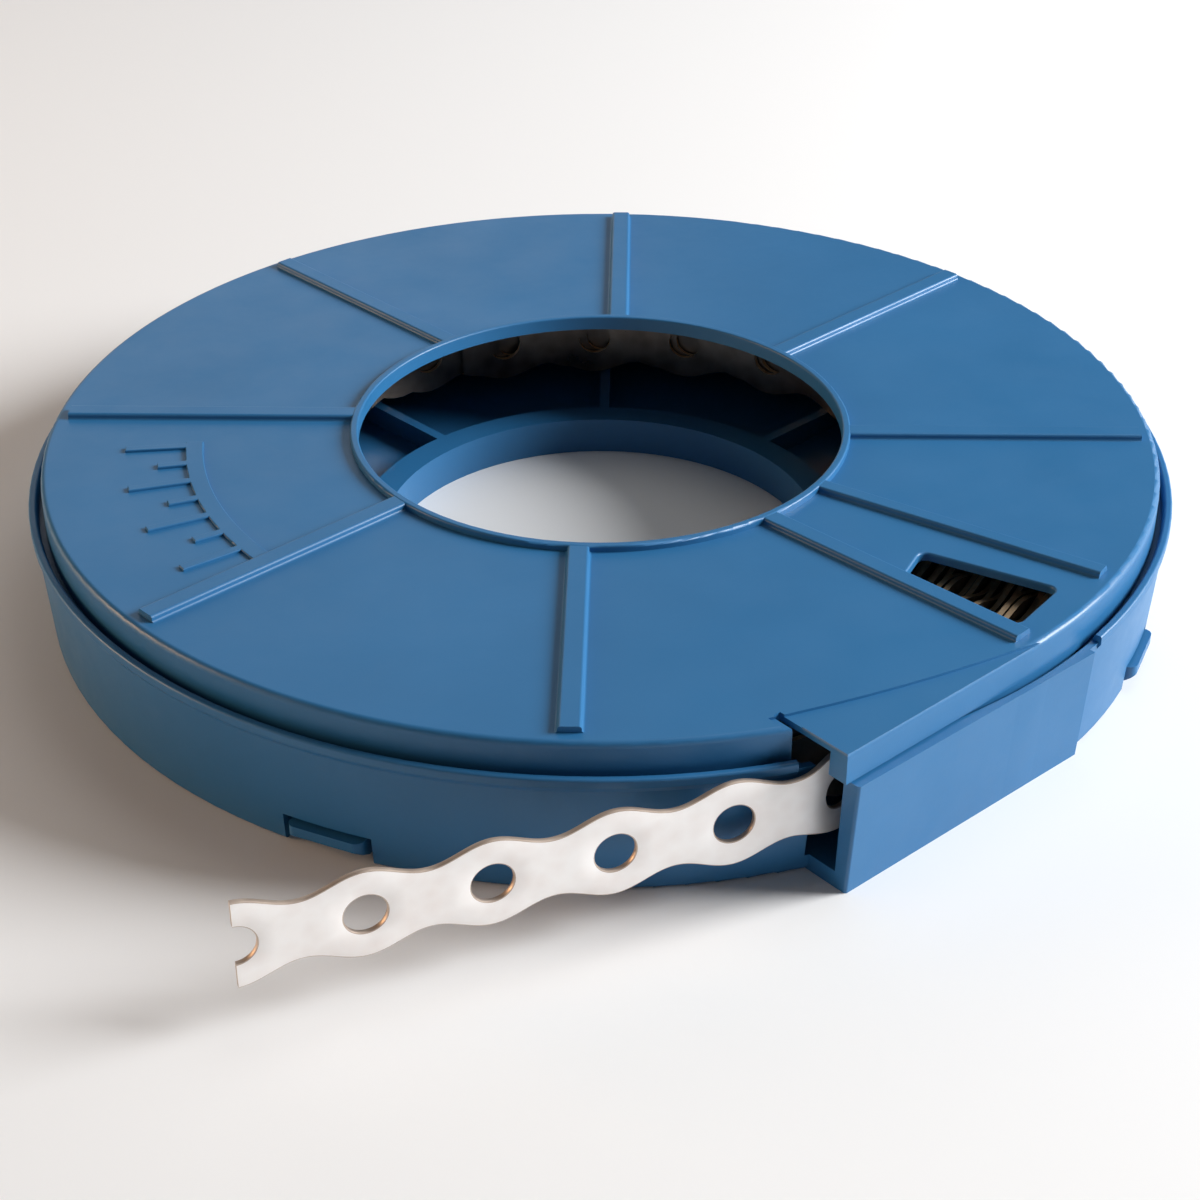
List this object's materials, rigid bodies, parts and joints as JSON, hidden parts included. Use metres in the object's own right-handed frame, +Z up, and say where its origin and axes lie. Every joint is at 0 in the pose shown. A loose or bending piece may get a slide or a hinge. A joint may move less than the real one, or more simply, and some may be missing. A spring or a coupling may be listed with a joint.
{
  "type": "fixing strap dispenser",
  "caption": "Round flat plastic dispenser case with a central hole, holding a coil of perforated steel fixing strap that is pulled out through a side nose.",
  "frame": {"origin": "on the case's axis, in the plane of the table that it lies on", "axes": "+Z up along the axis of the central hole, out of the ribbed cover; -X is the way the free strap points"},
  "size_m": [0.1636, 0.1689, 0.0223],
  "materials": {
    "tray_plastic": "satin moulded blue",
    "cover_plastic": "satin moulded blue",
    "hook_plastic": "satin moulded blue",
    "strap_steel": "zinc-coated strip, satin",
    "coil_steel": "zinc-coated strip, satin, cut edges browned"
  },
  "bodies": {
    "case": {"base_tray": "tray_plastic"},
    "cover": {"lid_cover": "cover_plastic"},
    "coil": {"strap_coil": "coil_steel"},
    "strap": {"strap_free_end": "strap_steel"},
    "hook_1": {"snap_hook_1": "hook_plastic"},
    "hook_2": {"snap_hook_2": "hook_plastic"},
    "hook_3": {"snap_hook_3": "hook_plastic"},
    "hook_4": {"snap_hook_4": "hook_plastic"}
  },
  "joints": [
    {"name": "coil_spin", "type": "hinge", "parent": "case", "child": "coil", "pos_m": [0, 0, 0.0118], "axis": [0, 0, -1], "range_deg": [0, 17]},
    {"name": "strap_pull", "type": "slide", "parent": "case", "child": "strap", "axis": [-0.9438, -0.3305, 0], "range_m": [0, 0.0225]},
    {"name": "lid_lift", "type": "slide", "parent": "case", "child": "cover", "axis": [0, 0, 1], "range_m": [0, 0.03], "deforming": ["snap_hook_1", "snap_hook_2", "snap_hook_3", "snap_hook_4"]},
    {"name": "hook_flex_1", "type": "hinge", "parent": "cover", "child": "hook_1", "pos_m": [0.05565, -0.05565, 0.0151], "axis": [0.7071, 0.7071, 0], "range_deg": [0, 10], "stiffness_Nm_per_rad": 0.2},
    {"name": "hook_flex_2", "type": "hinge", "parent": "cover", "child": "hook_2", "pos_m": [0.05565, 0.05565, 0.0151], "axis": [-0.7071, 0.7071, 0], "range_deg": [0, 10], "stiffness_Nm_per_rad": 0.2},
    {"name": "hook_flex_3", "type": "hinge", "parent": "cover", "child": "hook_3", "pos_m": [-0.05565, 0.05565, 0.0151], "axis": [-0.7071, -0.7071, 0], "range_deg": [0, 10], "stiffness_Nm_per_rad": 0.2},
    {"name": "hook_flex_4", "type": "hinge", "parent": "cover", "child": "hook_4", "pos_m": [-0.0568, -0.05447, 0.0151], "axis": [0.6921, -0.7218, 0], "range_deg": [0, 10], "stiffness_Nm_per_rad": 0.2}
  ],
  "couplings": [
    {"joint": "strap_pull", "follows": "coil_spin", "m_per_rad": 0.0758}
  ]
}
